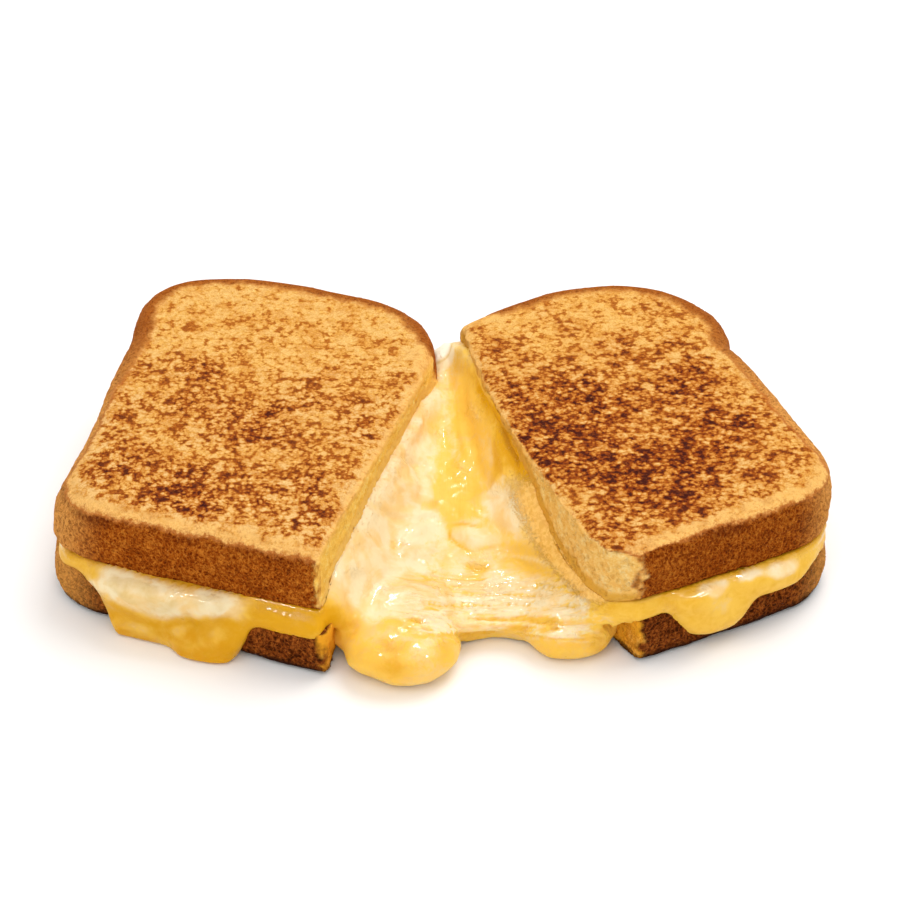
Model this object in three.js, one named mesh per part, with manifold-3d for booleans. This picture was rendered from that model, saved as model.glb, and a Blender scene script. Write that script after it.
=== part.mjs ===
// A grilled cheese sandwich, cut in two from its domed edge to its straight edge and pulled open
// like a book, with the melted cheese still stretched between the two halves.
//
// Millimetres, +Z up, the sandwich lying on the plane z = 0. The straight edges of the bread face
// -Y, the domed edges +Y. Each half has its own frame: u runs along its straight edge from the cut,
// v runs from the straight edge to the dome, and its origin is the front corner of the cut.
import * as THREE from "three";
import { mergeVertices } from "three/addons/utils/BufferGeometryUtils.js";
import Module from "manifold-3d";

const wasm = await Module();
wasm.setup();

// Driving dimensions.
const BOTTOM_THICK = 12.8; // the lower slice of bread
const TOP_THICK = 16.1; // the upper slice of bread
const TOP_LEVEL = 17.2; // the underside of the upper slice
const SLICE_HEIGHT = 96; // of the loaf, from its straight edge to its dome
const GAP = 0.3; // kept between touching pieces
const OUTER_ROUND = 2.6; // the rounding of the crust towards the toasted faces
const INNER_ROUND = 0.9; // and towards the cheese
const CRUST_BULGE = 0.6; // how far the crust swells at half the thickness
const TOAST_RELIEF = 0.3; // unevenness of the toasted faces

const CUT_STEPS = 14; // samples along a cut
const CRUST_STEPS = 46; // samples along a crust

const vec = (x, y) => new THREE.Vector2(x, y);

// ---------------------------------------------------------------------------------------------
// The two halves, seen from above.
// ---------------------------------------------------------------------------------------------

// The left half keeps 68 mm of the loaf's width. Its cut is straight, and the corner between cut
// and dome is rounded by the squeeze of the knife. The lower slice lies a little further back.
function leftPlan(upper) {
  const cut = new THREE.Path();
  cut.moveTo(0, 0);
  cut.lineTo(0.2, 74);
  const crust = new THREE.Path();
  crust.moveTo(0.2, 74);
  crust.bezierCurveTo(0.2, 86, -9, SLICE_HEIGHT - 0.5, -22, SLICE_HEIGHT);
  crust.bezierCurveTo(-35, SLICE_HEIGHT + 0.4, -47, 96, -55, 94);
  crust.bezierCurveTo(-66, 91.3, -73.4, 86, -73.4, 76); // the ear of the loaf
  crust.bezierCurveTo(-73.4, 69, -70.8, 67, -70.2, 61); // the notch under the ear
  if (upper) {
    crust.bezierCurveTo(-68.8, 45, -66.6, 30, -67, 16);
    crust.bezierCurveTo(-67.2, 5, -60, 0, -47, -0.2);
  } else {
    crust.bezierCurveTo(-69.4, 45, -69.4, 34, -69.8, 22);
    crust.bezierCurveTo(-70, 9, -62, 4, -47, 3);
    crust.lineTo(-24, 0.6);
  }
  crust.lineTo(0, 0);
  return { cut, crust };
}

// The right half keeps 60 mm. The cut of its upper slice bows out to a blunt corner, pressed down
// by the knife; the lower slice is cut straighter.
function rightPlan(upper) {
  const cut = new THREE.Path();
  cut.moveTo(0.6, 93.4);
  if (upper) {
    cut.bezierCurveTo(-4.5, 76, -8.6, 55, -8.8, 20);
    cut.lineTo(-8.6, 6.5);
    cut.bezierCurveTo(-8.4, 4, -5, 2.2, -0.8, 0);
  } else {
    cut.bezierCurveTo(-3.5, 74, -4.6, 45, -2.6, 12);
    cut.bezierCurveTo(-2.3, 7, -1.6, 3, -0.8, 0);
  }
  const crust = new THREE.Path();
  crust.moveTo(-0.8, 0);
  crust.lineTo(38, 0);
  crust.bezierCurveTo(47.5, 0, 53.2, 6, 54, 17);
  crust.bezierCurveTo(54.8, 30, 57.4, 45, 54.4, 58.6); // the side, up to the notch
  crust.bezierCurveTo(57, 60.5, 58.2, 68.5, 55.8, 75); // the ear of the loaf
  crust.bezierCurveTo(52.2, 87.5, 42, 94.2, 28, SLICE_HEIGHT);
  crust.bezierCurveTo(18, 97, 8, 95.4, 0.6, 93.4);
  return { cut, crust };
}

// Where each half lies: the front corner of its cut, and how far it is turned.
const LEFT = {
  name: "left",
  upperPlan: leftPlan(true),
  lowerPlan: leftPlan(false),
  corner: vec(-27.04, -48.66),
  turn: THREE.MathUtils.degToRad(-19),
  press: () => 0,
};
const RIGHT = {
  name: "right",
  upperPlan: rightPlan(true),
  lowerPlan: rightPlan(false),
  corner: vec(44.46, -44.96),
  turn: THREE.MathUtils.degToRad(26),
  press: (u, v) => 3 * Math.exp(-Math.hypot(u + 4, v) / 14), // the knife pressed this corner
};

// Samples of a plan, counter-clockwise: position, outward normal, and whether it is crust. A path
// that runs clockwise would turn the solid inside out, so both plans run the same way round.
function outlineOf({ cut, crust }) {
  const samples = [];
  for (let i = 1; i < CUT_STEPS; i++) samples.push(sampleOf(cut, i / CUT_STEPS, 0));
  for (let i = 0; i <= CRUST_STEPS; i++) samples.push(sampleOf(crust, i / CRUST_STEPS, 1));
  return samples.map((s, i) => ({ ...s, mitre: mitreOf(samples.at(i - 1), s, samples[(i + 1) % samples.length]) }));
}

// Which way, and how far, a corner moves when the outline grows by 1 mm.
function mitreOf(before, at, after) {
  const normal = (a, b) => vec(b.y - a.y, a.x - b.x).normalize();
  const first = normal(before, at);
  const sum = first.clone().add(normal(at, after));
  return sum.divideScalar(sum.dot(first));
}

function sampleOf(path, t, crust) {
  const p = path.getPointAt(t);
  const d = path.getTangentAt(t);
  return { x: p.x, y: p.y, nx: d.y, ny: -d.x, crust };
}

function matrixOf(half) {
  const turned = new THREE.Matrix4().makeRotationZ(half.turn);
  return turned.setPosition(half.corner.x, half.corner.y, 0);
}

// A point of a half's own frame, in the frame of the whole sandwich.
function placed(half, u, v, z) {
  return new THREE.Vector3(u, v, z).applyMatrix4(matrixOf(half));
}

// ---------------------------------------------------------------------------------------------
// Closed meshes from rings and grids.
// ---------------------------------------------------------------------------------------------

// rings[i][j] are points on closed loops, stacked from the first pole to the last one.
function ringSolid(firstPole, rings, lastPole) {
  const n = rings[0].length;
  const points = [firstPole, ...rings.flat(), lastPole];
  const faces = [];
  const at = (i, j) => 1 + i * n + (j % n);
  for (let j = 0; j < n; j++) {
    faces.push(0, at(0, j + 1), at(0, j));
    faces.push(points.length - 1, at(rings.length - 1, j), at(rings.length - 1, j + 1));
    for (let i = 0; i + 1 < rings.length; i++) {
      faces.push(at(i, j), at(i, j + 1), at(i + 1, j + 1));
      faces.push(at(i, j), at(i + 1, j + 1), at(i + 1, j));
    }
  }
  return meshOf(points, faces);
}

// sections[i][j] is the j-th point of the i-th cross-section. Each is a closed loop of an even
// number of points, out along one side and back along the other, and the two ends are closed by
// strips between those sides.
function loftSolid(sections) {
  const n = sections[0].length;
  const points = sections.flat();
  const last = sections.length - 1;
  const faces = [];
  const at = (i, j) => i * n + (j % n);
  for (let i = 0; i < last; i++)
    for (let j = 0; j < n; j++) {
      faces.push(at(i, j), at(i + 1, j), at(i + 1, j + 1));
      faces.push(at(i, j), at(i + 1, j + 1), at(i, j + 1));
    }
  for (let j = 0; j + 1 < n / 2; j++) {
    const k = n - 1 - j; // across from j
    faces.push(at(0, j), at(0, j + 1), at(0, k - 1), at(0, j), at(0, k - 1), at(0, k));
    faces.push(at(last, j), at(last, k - 1), at(last, j + 1), at(last, j), at(last, k), at(last, k - 1));
  }
  return meshOf(points, faces);
}

function meshOf(points, faces) {
  const geometry = new THREE.BufferGeometry().setFromPoints(points);
  geometry.setIndex(faces);
  return geometry;
}

// ---------------------------------------------------------------------------------------------
// Bread.
// ---------------------------------------------------------------------------------------------

// Gentle hills and dips, the same in every run.
function relief(x, y, phase) {
  return (
    0.5 * Math.sin(0.21 * x + 0.13 * y + phase) +
    0.3 * Math.sin(0.37 * x - 0.29 * y + 2.1 * phase) +
    0.2 * Math.sin(0.11 * x + 0.53 * y - 1.3 * phase)
  );
}

// A slice of one half. Its toasted face is the outer one: up on the upper slice, down on the lower.
// grow makes it larger all round, for cutting the cheese clear of it.
function sliceGeometry(half, upper, grow = 0) {
  const outline = outlineOf(upper ? half.upperPlan : half.lowerPlan);
  const bottom = upper ? TOP_LEVEL : 0;
  const thick = upper ? TOP_THICK : BOTTOM_THICK;
  const roundLow = upper ? INNER_ROUND : OUTER_ROUND;
  const roundHigh = upper ? OUTER_ROUND : INNER_ROUND;
  const phase = half.turn * 5 + (upper ? 1 : 0);
  // The crust's section from the lower face to the upper one: how far in from the outline it is,
  // and how high.
  const section = [
    [roundLow, 0],
    [roundLow * 0.3, roundLow * 0.3],
    [0, roundLow],
    [-CRUST_BULGE, thick / 2],
    [0, thick - roundHigh],
    [roundHigh * 0.3, thick - roundHigh * 0.3],
    [roundHigh, thick],
  ];
  const centre = vec(0, 0);
  for (const s of outline) centre.add(vec(s.x, s.y).divideScalar(outline.length));

  const height = (x, y, z) => {
    const share = z / thick;
    const pressed = upper ? half.press(x, y) * share : 0;
    const inwards = upper ? z === thick : z === 0;
    const rough = inwards ? TOAST_RELIEF * relief(x, y, phase) * (upper ? 1 : 0) : 0;
    return bottom + z - pressed + rough + grow * (2 * share - 1);
  };
  const ring = (z, inset, shrink) =>
    outline.map((s) => {
      const out = s.crust * (0.25 * relief(s.x * 2, s.y * 2 + 3 * z, phase) - inset);
      const x = THREE.MathUtils.lerp(s.x + s.nx * out + s.mitre.x * grow, centre.x, shrink);
      const y = THREE.MathUtils.lerp(s.y + s.ny * out + s.mitre.y * grow, centre.y, shrink);
      return new THREE.Vector3(x, y, height(x, y, z));
    });
  const rings = [
    ring(0, roundLow, 0.5),
    ...section.map(([inset, z]) => ring(z, inset, 0)),
    ring(thick, roundHigh, 0.25),
    ring(thick, roundHigh, 0.5),
    ring(thick, roundHigh, 0.75),
  ];
  const pole = (z) => new THREE.Vector3(centre.x, centre.y, height(centre.x, centre.y, z));
  return ringSolid(pole(0), rings, pole(thick));
}

// ---------------------------------------------------------------------------------------------
// Cheese. Two kinds melted together: the yellow one below runs through both halves and the pull
// between them, and the white one lies on it in each half and swells out at the front.
// ---------------------------------------------------------------------------------------------

// How far the cheese hangs down the crust, as drips at a distance s from the front corner of the
// cut: each has its place, its half width, how deep it hangs, how proud it stands and how far its
// foot runs out.
const YELLOW_DRIPS = {
  left: [
    { at: 6, half: 11, depth: 3.4, proud: 2.4, foot: 0 },
    { at: 26, half: 9, depth: 17, proud: 3.4, foot: 4.4 },
    { at: 40, half: 11, depth: 17, proud: 3.2, foot: 1.2 },
  ],
  right: [
    { at: 1, half: 5, depth: 0.6, proud: 1, foot: 0 },
    { at: 19, half: 9.8, depth: 9.8, proud: 3.8, foot: 0 },
    { at: 34, half: 9, depth: 3.6, proud: 3, foot: 0 },
  ],
};
const WHITE_DRIPS = {
  left: [
    { at: 29, half: 8, depth: 5.2, proud: 5, foot: 0 },
    { at: 43, half: 9, depth: 8, proud: 4.8, foot: 0 },
  ],
  right: [
    { at: 15, half: 6, depth: 3, proud: 4.4, foot: 0 },
    { at: 31, half: 7, depth: 2.8, proud: 3.8, foot: 0 },
  ],
};

// The drips at one place, merged: the deepest counts, and each fades to nothing at its sides.
function dripAt(drips, s) {
  const sum = { depth: 0, proud: 0, foot: 0 };
  for (const drip of drips) {
    const share = Math.exp(-(((s - drip.at) / drip.half) ** 4));
    sum.depth = Math.max(sum.depth, drip.depth * share);
    sum.proud = Math.max(sum.proud, drip.proud * share ** 0.5);
    sum.foot = Math.max(sum.foot, drip.foot * share);
  }
  return sum;
}

const LIP_STEP = 1.8;
const LIP_ROOT = 4; // how deep a lip reaches back into its layer
const LIP_BELOW = 0.25; // its top lies a little below the layer's

// The crust of a half as a curve that starts at the front corner of the cut.
function frontPoint(half, s) {
  const { crust } = half.upperPlan;
  const t = s / crust.getLength();
  const fromFront = half.name === "left" ? 1 - t : t;
  return sampleOf(crust, THREE.MathUtils.clamp(fromFront, 0, 1), 1);
}

// The lip of a layer: it leaves the layer, bulges over the crust and hangs down it.
function lipGeometry(half, drips, [from, to], levelLow, levelHigh, grow = 0) {
  const sections = [];
  const count = Math.ceil((to - from) / LIP_STEP);
  for (let i = 0; i <= count; i++) {
    const s = from + ((to - from) * i) / count;
    const edge = frontPoint(half, Math.max(s, 0));
    const { depth, proud, foot } = dripAt(drips, s);
    const low = Math.max(levelLow - depth - grow, 0);
    const drop = levelHigh - low;
    const w = proud + grow + 0.2;
    const section = [
      [-LIP_ROOT, levelHigh + grow - LIP_BELOW],
      [0.4, levelHigh + grow - LIP_BELOW],
      [w * 0.75, levelHigh - 0.12 * drop + grow],
      [w, levelHigh - 0.4 * drop],
      [w + foot * 0.7, levelHigh - 0.75 * drop],
      [w * 0.75 + foot, low + 0.05 * drop],
      [w * 0.3 + foot * 0.8, low],
      [-LIP_ROOT, low],
    ];
    sections.push(
      section.map(([out, z]) => {
        const along = Math.min(s, 0) * (half.name === "left" ? -1 : 1);
        return placed(half, edge.x + along + edge.nx * out, edge.y + edge.ny * out, z);
      }),
    );
  }
  return loftSolid(half.name === "left" ? sections : sections.reverse());
}

// A layer that fills a half, a little proud of the crust where it oozes out.
function layerGeometry(half, levelLow, levelHigh, ooze, grow = 0) {
  const outline = outlineOf(half.upperPlan);
  const ring = (z, out) =>
    outline.map((s) => {
      const swell = grow + s.crust * (out + 0.5 * ooze * relief(s.x * 1.6, s.y * 1.6, 4));
      return placed(half, s.x + s.nx * swell, s.y + s.ny * swell, z);
    });
  const middle = (z) => placed(half, half.name === "left" ? -33 : 23, 46, z);
  const mid = (levelLow + levelHigh) / 2;
  return ringSolid(
    middle(levelLow - grow),
    [ring(levelLow - grow, -1), ring(mid, ooze), ring(levelHigh + grow, -1)],
    middle(levelHigh + grow),
  );
}

// The pull: a thick sagging sheet between the two cuts. a runs from the left cut to the right one,
// b from the front to the back. It climbs up the cut faces towards the back.
const PULL = {
  across: 16,
  along: 18,
  root: 3, // how deep it reaches into the layers
  bow: 4.5, // how far its front edge bows back
  sagFront: 9.5,
  sagBack: 2,
  middleThick: 6,
  underFaces: 10.5, // the level down to which it clings to the cut faces
};

// Where the pull leaves a half. On the left it follows the cut round the corner to the dome.
const CORNER_REACH = 12;

function pullEdge(half, b) {
  const { cut, crust } = half.upperPlan;
  if (half.name === "right") return sampleOf(cut, THREE.MathUtils.lerp(0.98, 0.012, b), 0);
  const length = cut.getLength();
  const s = THREE.MathUtils.lerp(1.5, length + CORNER_REACH, b);
  return s < length ? sampleOf(cut, s / length, 0) : sampleOf(crust, (s - length) / crust.getLength(), 0);
}

// A point of the pull, a of the way across, on top or under it.
function pullPoint(a, b, under, reach, grow) {
  const l = pullEdge(LEFT, b);
  const r = pullEdge(RIGHT, b);
  const left = placed(LEFT, l.x - l.nx * reach, l.y - l.ny * reach, 0);
  const right = placed(RIGHT, r.x + reach, r.y, 0);
  const point = left.lerp(right, a);
  const climbLeft = 17.5 + 10 * b;
  const climbRight = 14.5 + 12.5 * THREE.MathUtils.smoothstep(b, 0.1, 0.6);
  const belly = 4 * a * (1 - a);
  const sag = THREE.MathUtils.lerp(PULL.sagFront, PULL.sagBack, b ** 1.4);
  const rough = 0.7 * belly * relief(point.x * 2, point.y * 1.5, 2);
  const top = THREE.MathUtils.lerp(climbLeft, climbRight, a) - sag * belly ** 0.6 + rough;
  point.y += PULL.bow * Math.sin(Math.PI * a) * (1 - b) ** 3 - 2 * grow * (1 - 2 * b);
  const atFace = Math.abs(2 * a - 1) ** 5;
  const thick = THREE.MathUtils.lerp(PULL.middleThick, top - PULL.underFaces, atFace);
  point.z = under ? Math.max(top - thick - grow, 0) : top + grow;
  return point;
}

// Its first and last columns lie inside the halves, deeper by grow.
function pullGeometry(grow) {
  const root = PULL.root + grow;
  const columns = [[0, root]];
  for (let j = 0; j <= PULL.across; j++) columns.push([j / PULL.across, 0]);
  columns.push([1, root]);
  const sections = [];
  for (let i = PULL.along; i >= 0; i--) {
    const b = i / PULL.along;
    const side = (under) => columns.map(([a, reach]) => pullPoint(a, b, under, reach, grow));
    sections.push([...side(false), ...side(true).reverse()]);
  }
  return loftSolid(sections);
}

// Blobs where the cheese has run out in front and settled on the plane: centre and radii.
const BLOBS = [
  { centre: [-8.8, -47.4, 5.6], radii: [13.2, 12, 7.2] },
  { centre: [-12, -35.4, 6], radii: [15.5, 16, 6.8] },
  { centre: [28.2, -40, 4.6], radii: [10.6, 9, 5.8] },
  { centre: [30.1, -33.4, 5.6], radii: [11.5, 12, 6.6] },
];
const BLOB_SEGMENTS = 18;

function blobGeometry({ centre, radii }, grow) {
  const geometry = new THREE.SphereGeometry(1, BLOB_SEGMENTS, BLOB_SEGMENTS / 2);
  geometry.rotateX(Math.PI / 2).scale(...radii.map((r) => r + grow)).translate(...centre);
  const position = geometry.attributes.position;
  for (let i = 0; i < position.count; i++) position.setZ(i, Math.max(position.getZ(i), 0));
  return geometry;
}

// ---------------------------------------------------------------------------------------------
// Joining and cutting.
// ---------------------------------------------------------------------------------------------

const MERGE = 1e-4;

function solidOf(geometry, matrix = new THREE.Matrix4()) {
  const bare = geometry.clone().applyMatrix4(matrix);
  bare.deleteAttribute("normal");
  bare.deleteAttribute("uv");
  const merged = mergeVertices(bare, MERGE);
  const mesh = new wasm.Mesh({
    numProp: 3,
    vertProperties: merged.attributes.position.array,
    triVerts: new Uint32Array(merged.index.array),
  });
  return new wasm.Manifold(mesh);
}

function geometryOf(solid) {
  const mesh = solid.getMesh();
  const geometry = new THREE.BufferGeometry();
  geometry.setAttribute("position", new THREE.BufferAttribute(mesh.vertProperties, 3));
  geometry.setIndex(new THREE.BufferAttribute(mesh.triVerts, 1));
  return geometry;
}

const union = (solids) => solids.reduce((a, b) => a.add(b));

// The largest body of a solid, without the scraps and slivers that a cut can leave.
const SLIVER = 0.03;
function largest(solid) {
  const bodies = solid.simplify(SLIVER).decompose();
  return bodies.sort((a, b) => b.volume() - a.volume())[0];
}

const HALVES = [LEFT, RIGHT];
const YELLOW_OOZE = 0.6;
const WHITE_OOZE = 0.2;
const YELLOW_SHARE = 0.55; // of the height between the slices

const YELLOW_TOP = THREE.MathUtils.lerp(BOTTOM_THICK, TOP_LEVEL, YELLOW_SHARE);

const grownBread = union(
  HALVES.flatMap((half) => [false, true].map((upper) => solidOf(sliceGeometry(half, upper, GAP), matrixOf(half)))),
);

// All the yellow cheese, clear of the bread. grow makes it larger, for cutting the white.
function yellowSolid(grow) {
  const layers = HALVES.map((half) =>
    solidOf(layerGeometry(half, BOTTOM_THICK - 1, YELLOW_TOP, YELLOW_OOZE, grow)),
  );
  const lips = HALVES.map((half) => {
    const reach = [-1 - grow, (half.name === "left" ? 60 : 48) + grow];
    return solidOf(lipGeometry(half, YELLOW_DRIPS[half.name], reach, BOTTOM_THICK, YELLOW_TOP, grow));
  });
  const blobs = BLOBS.map((blob) => solidOf(blobGeometry(blob, grow)));
  const pieces = [...layers, ...lips, solidOf(pullGeometry(grow)), ...blobs];
  return union(pieces.map((piece) => piece.subtract(grownBread)));
}

function whiteSolid(half) {
  const base = YELLOW_TOP - 0.5;
  const layer = solidOf(layerGeometry(half, base, TOP_LEVEL + 1, WHITE_OOZE));
  const reach = half.name === "left" ? [18, 54] : [7, 41];
  const lip = solidOf(lipGeometry(half, WHITE_DRIPS[half.name], reach, base, TOP_LEVEL));
  return largest(layer.add(lip).subtract(grownBread).subtract(yellowSolid(GAP)));
}

// ---------------------------------------------------------------------------------------------
// The sandwich.
// ---------------------------------------------------------------------------------------------

const TOAST = new THREE.MeshStandardMaterial({ color: 0xd2893d, roughness: 0.85, metalness: 0 });
const DARK_TOAST = new THREE.MeshStandardMaterial({ color: 0x9c5a24, roughness: 0.9, metalness: 0 });
const YELLOW_CHEESE = new THREE.MeshStandardMaterial({ color: 0xf3b440, roughness: 0.3, metalness: 0 });
const WHITE_CHEESE = new THREE.MeshStandardMaterial({ color: 0xf2dfae, roughness: 0.3, metalness: 0 });

function named(name, geometry, material) {
  const mesh = new THREE.Mesh(geometry, material);
  mesh.name = name;
  return mesh;
}

const sandwich = new THREE.Group();
for (const half of HALVES) {
  const bread = new THREE.Group();
  bread.position.set(half.corner.x, half.corner.y, 0);
  bread.rotation.z = half.turn;
  bread.add(named(`${half.name}_bottom_slice`, sliceGeometry(half, false), DARK_TOAST));
  bread.add(named(`${half.name}_top_slice`, sliceGeometry(half, true), TOAST));
  sandwich.add(bread);
  sandwich.add(named(`${half.name}_white_cheese`, geometryOf(whiteSolid(half)), WHITE_CHEESE));
}
const yellow = largest(yellowSolid(0));
sandwich.add(named("yellow_cheese", geometryOf(yellow), YELLOW_CHEESE));

export default sandwich;
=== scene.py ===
import math

import bpy
import numpy as np
from mathutils.bvhtree import BVHTree
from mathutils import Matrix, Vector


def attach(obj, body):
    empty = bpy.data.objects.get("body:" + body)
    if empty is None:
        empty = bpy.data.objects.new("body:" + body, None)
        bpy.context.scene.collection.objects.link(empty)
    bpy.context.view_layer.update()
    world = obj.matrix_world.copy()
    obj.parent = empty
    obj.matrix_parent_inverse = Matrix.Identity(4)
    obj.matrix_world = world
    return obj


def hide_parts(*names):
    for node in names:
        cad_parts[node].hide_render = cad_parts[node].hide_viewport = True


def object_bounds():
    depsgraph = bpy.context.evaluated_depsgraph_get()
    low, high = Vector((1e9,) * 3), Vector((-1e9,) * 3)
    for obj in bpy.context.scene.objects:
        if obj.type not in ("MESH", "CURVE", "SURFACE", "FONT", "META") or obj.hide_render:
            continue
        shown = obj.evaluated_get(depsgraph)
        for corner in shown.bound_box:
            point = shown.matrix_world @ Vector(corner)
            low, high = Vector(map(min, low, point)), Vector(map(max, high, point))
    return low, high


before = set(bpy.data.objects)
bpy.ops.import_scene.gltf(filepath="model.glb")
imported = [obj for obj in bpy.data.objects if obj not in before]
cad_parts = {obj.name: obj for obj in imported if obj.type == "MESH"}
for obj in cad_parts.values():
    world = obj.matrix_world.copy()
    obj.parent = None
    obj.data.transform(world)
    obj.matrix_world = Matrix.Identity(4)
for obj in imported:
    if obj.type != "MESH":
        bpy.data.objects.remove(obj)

CAD_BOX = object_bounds()
MM = 0.001
BREAD_FACE = 0.52  # mm, the size of a mesh's little faces
CHEESE_FACE = 0.7
SWELL = 0.28  # mm, by which the cheeses grow so that the remeshing joins them into one


def new_object(name, data):
    o = bpy.data.objects.new(name, data)
    bpy.context.collection.objects.link(o)
    return o


# -------------------------------- camera, as measured in the photograph
PITCH, LENS, SENSOR = math.radians(38), 160.0, 36.0
EYE = np.array([1.83, -723.66, 590.1])  # mm
PICTURE = 900  # pixels, its width and its height
cam = new_object("camera", bpy.data.cameras.new("camera"))
cam.location = EYE * MM
cam.rotation_euler = (math.pi / 2 - PITCH, 0, 0)
cam.data.lens, cam.data.sensor_width = LENS, SENSOR
cam.data.clip_end = 20
bpy.context.scene.camera = cam


def on_picture(p):
    """Where points (mm) show, in pixels: it places the colours and the folds of the cheese."""
    d = p - EYE
    focal, centre = LENS / SENSOR * PICTURE, PICTURE / 2
    depth = d[:, 1] * math.cos(PITCH) - d[:, 2] * math.sin(PITCH)
    up = d[:, 1] * math.sin(PITCH) + d[:, 2] * math.cos(PITCH)
    return centre + focal * d[:, 0] / depth, centre - focal * up / depth


# -------------------------------- seeded noise on arrays of points (mm)
MASK = 0xFFFFFFFF


def lattice(i, seed):
    """A hash of whole-numbered points: a number from 0 to 1 for each, the same on every run."""
    i = i.astype(np.int64)
    h = (i[..., 0] * 73856093) ^ (i[..., 1] * 19349663) ^ (i[..., 2] * 83492791)
    h = ((h ^ (seed * 2654435761)) & MASK).astype(np.uint64)
    for shift, factor in ((15, 2246822519), (13, 3266489917)):
        h = ((h ^ (h >> np.uint64(shift))) * np.uint64(factor)) & np.uint64(MASK)
    return (h ^ (h >> np.uint64(16))).astype(np.float64) / 2.0**32


def noise(p, size, seed=0):
    """Smooth noise from -1 to 1 with lumps of that size (a number, or one for each axis)."""
    q = p / np.asarray(size, float)
    i = np.floor(q)
    f = q - i
    f = f * f * f * (f * (f * 6 - 15) + 10)
    out = 0.0
    for c in range(8):
        o = np.array([c & 1, c >> 1 & 1, c >> 2])
        w = np.prod(np.where(o, f, 1 - f), axis=-1)
        out = out + w * lattice(i + o, seed)
    return out * 2 - 1


def fbm(p, size, octaves=4, gain=0.5, seed=0):
    """Noise of several sizes, each about half as big as the one before."""
    out, amp, total = 0.0, 1.0, 0.0
    for k in range(octaves):
        out = out + amp * noise(p, np.asarray(size, float) / 2.03**k, seed + 17 * k)
        total += amp
        amp *= gain
    return out / total


def cells(p, size, seed=0):
    """Distance to the nearest of one random point per cell, in cell sizes."""
    q = p / np.asarray(size, float)
    i = np.floor(q)
    best = np.full(len(p), 9.0)
    for dx in (-1, 0, 1):
        for dy in (-1, 0, 1):
            for dz in (-1, 0, 1):
                c = i + (dx, dy, dz)
                r = np.stack([lattice(c, seed + k) for k in (1, 2, 3)], -1)
                best = np.minimum(best, ((c + r - q) ** 2).sum(-1))
    return np.sqrt(best)


def step(lo, hi, x):
    """0 at lo, 1 at hi, and a soft rise between them."""
    t = np.clip((x - lo) / (hi - lo), 0, 1)
    return t * t * (3 - 2 * t)


# -------------------------------- meshes
def modified(mesh, kind, **settings):
    """The mesh as a modifier leaves it."""
    o = new_object("tmp", mesh)
    m = o.modifiers.new(kind, kind)
    for k, v in settings.items():
        setattr(m, k, v)
    deps = bpy.context.evaluated_depsgraph_get()
    out = bpy.data.meshes.new_from_object(o.evaluated_get(deps))
    bpy.data.objects.remove(o)
    return out


def remeshed(mesh, voxel):
    """A closed mesh rebuilt from even little faces."""
    return modified(mesh, "REMESH", mode="VOXEL", voxel_size=voxel * MM, adaptivity=0)


def smoothed(mesh, times):
    return modified(mesh, "SMOOTH", factor=0.5, iterations=times)


def points(mesh):
    """The places of a mesh's points, in mm."""
    a = np.empty(len(mesh.vertices) * 3, np.float32)
    mesh.vertices.foreach_get("co", a)
    return a.reshape(-1, 3).astype(float) / MM


def set_points(mesh, p):
    mesh.vertices.foreach_set("co", (p * MM).astype(np.float32).ravel())
    mesh.update()


def normals(mesh):
    a = np.empty(len(mesh.vertices) * 3, np.float32)
    mesh.vertex_normals.foreach_get("vector", a)
    return a.reshape(-1, 3).astype(float)


def finished(mesh, material, attributes):
    """Give a mesh its material and the values, one for each point, that the material reads."""
    for name, values in attributes.items():
        a = mesh.attributes.new(name, "FLOAT", "POINT")
        a.data.foreach_set("value", values.astype(np.float32))
    mesh.polygons.foreach_set("use_smooth", np.ones(len(mesh.polygons), bool))
    mesh.update()
    mesh.materials.clear()
    mesh.materials.append(material)


def joined(meshes):
    """One mesh of several."""
    verts, faces, base = [], [], 0
    for me in meshes:
        p = points(me)
        verts.append(p * MM)
        me.calc_loop_triangles()
        t = np.empty(len(me.loop_triangles) * 3, np.int32)
        me.loop_triangles.foreach_get("vertices", t)
        faces.append(t.reshape(-1, 3) + base)
        base += len(p)
    out = bpy.data.meshes.new("joined")
    out.from_pydata(np.concatenate(verts).tolist(), [], np.concatenate(faces).tolist())
    return out


# -------------------------------- the halves, in mm: corner, turn, outlines
HALVES = {
    "left": dict(corner=(-27.04, -48.66), turn=math.radians(-19)),
    "right": dict(corner=(44.46, -44.96), turn=math.radians(26)),
}


def bezier(a, b, c, d, n=40):
    t = np.linspace(0, 1, n)[:, None]
    a, b, c, d = map(np.array, (a, b, c, d))
    return a * (1 - t) ** 3 + 3 * b * t * (1 - t) ** 2 + 3 * c * t * t * (1 - t) + d * t**3


def line(a, b, n=40):
    return np.linspace(a, b, n)


LEFT_CUT = line((0, 0), (0.2, 74), 120)
LEFT_DOME = np.concatenate([
    bezier((0.2, 74), (0.2, 86), (-9, 95.5), (-22, 96)),
    bezier((-22, 96), (-35, 96.4), (-47, 96), (-55, 94)),
    bezier((-55, 94), (-66, 91.3), (-73.4, 86), (-73.4, 76)),
    bezier((-73.4, 76), (-73.4, 69), (-70.8, 67), (-70.2, 61)),
])
RIGHT_CRUST = np.concatenate([
    line((-0.8, 0), (38, 0), 80),
    bezier((38, 0), (47.5, 0), (53.2, 6), (54, 17)),
    bezier((54, 17), (54.8, 30), (57.4, 45), (54.4, 58.6)),
    bezier((54.4, 58.6), (57, 60.5), (58.2, 68.5), (55.8, 75)),
    bezier((55.8, 75), (52.2, 87.5), (42, 94.2), (28, 96)),
    bezier((28, 96), (18, 97), (8, 95.4), (0.6, 93.4)),
])
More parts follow.
